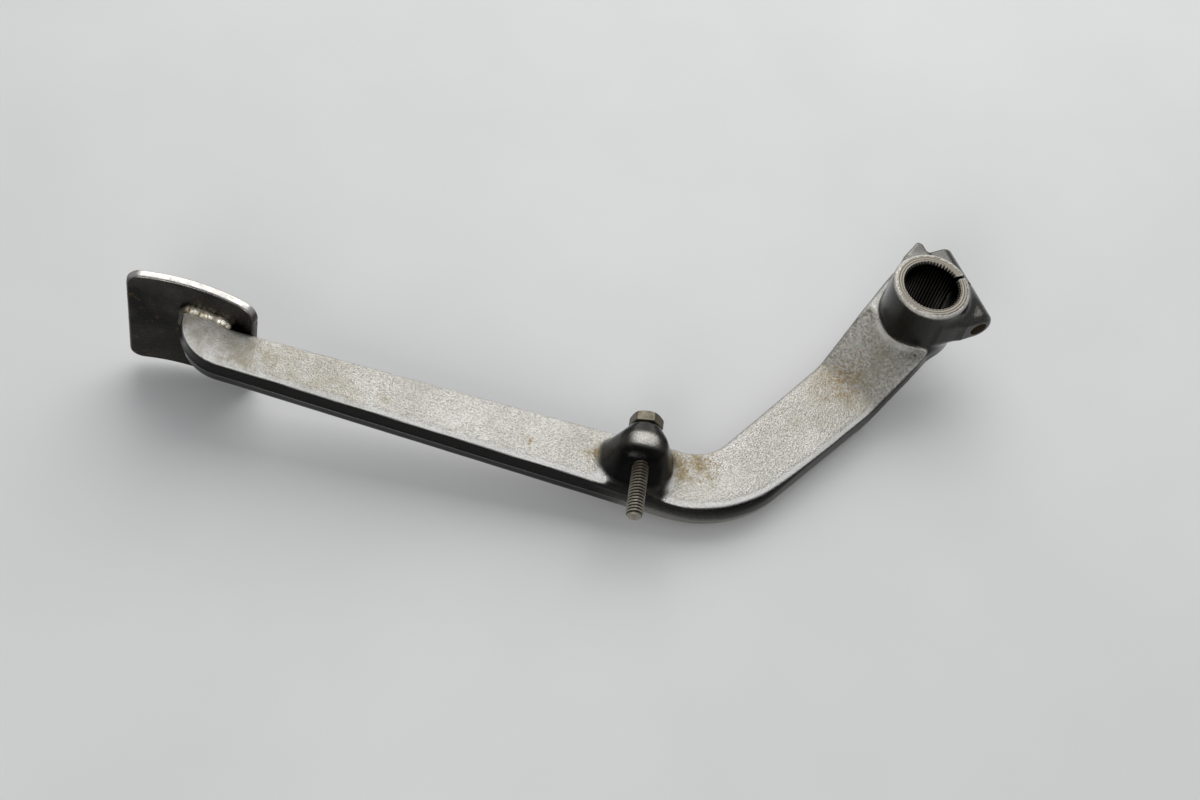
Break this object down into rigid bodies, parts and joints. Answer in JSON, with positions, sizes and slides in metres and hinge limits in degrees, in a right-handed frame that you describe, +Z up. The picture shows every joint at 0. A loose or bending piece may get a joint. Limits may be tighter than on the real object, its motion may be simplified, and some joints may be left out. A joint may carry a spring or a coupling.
{
  "type": "motorbike brake pedal",
  "caption": "Plated forged brake pedal lever with a split serrated clamp hub, a bent arm, a welded curved foot pad and an adjustable stop screw.",
  "frame": {"origin": "middle of the clamp hub, on the hub axis", "axes": "+X along the long leg from the foot pad towards the hub, +Z up as the loose lever lies on a bench, +Y towards the tread face of the foot pad"},
  "size_m": [0.3197, 0.1442, 0.0572],
  "materials": {
    "plated_forging": "worn chrome over a pebbled forging skin, rust specks",
    "plated_plate": "worn chrome over plate",
    "plated_weld": "chrome over a lumpy weld bead",
    "zinc_screw": "dull olive zinc, grimy"
  },
  "bodies": {
    "lever": {"lever_forging": "plated_forging", "foot_pad": "plated_plate", "pad_weld": "plated_weld"},
    "stop_screw": {"stop_screw": "zinc_screw"}
  },
  "joints": [
    {"name": "stop_screw_adjust", "type": "slide", "parent": "lever", "child": "stop_screw", "axis": [0.1019, -0.9903, -0.0946], "range_m": [-0.01, 0.00095]}
  ]
}
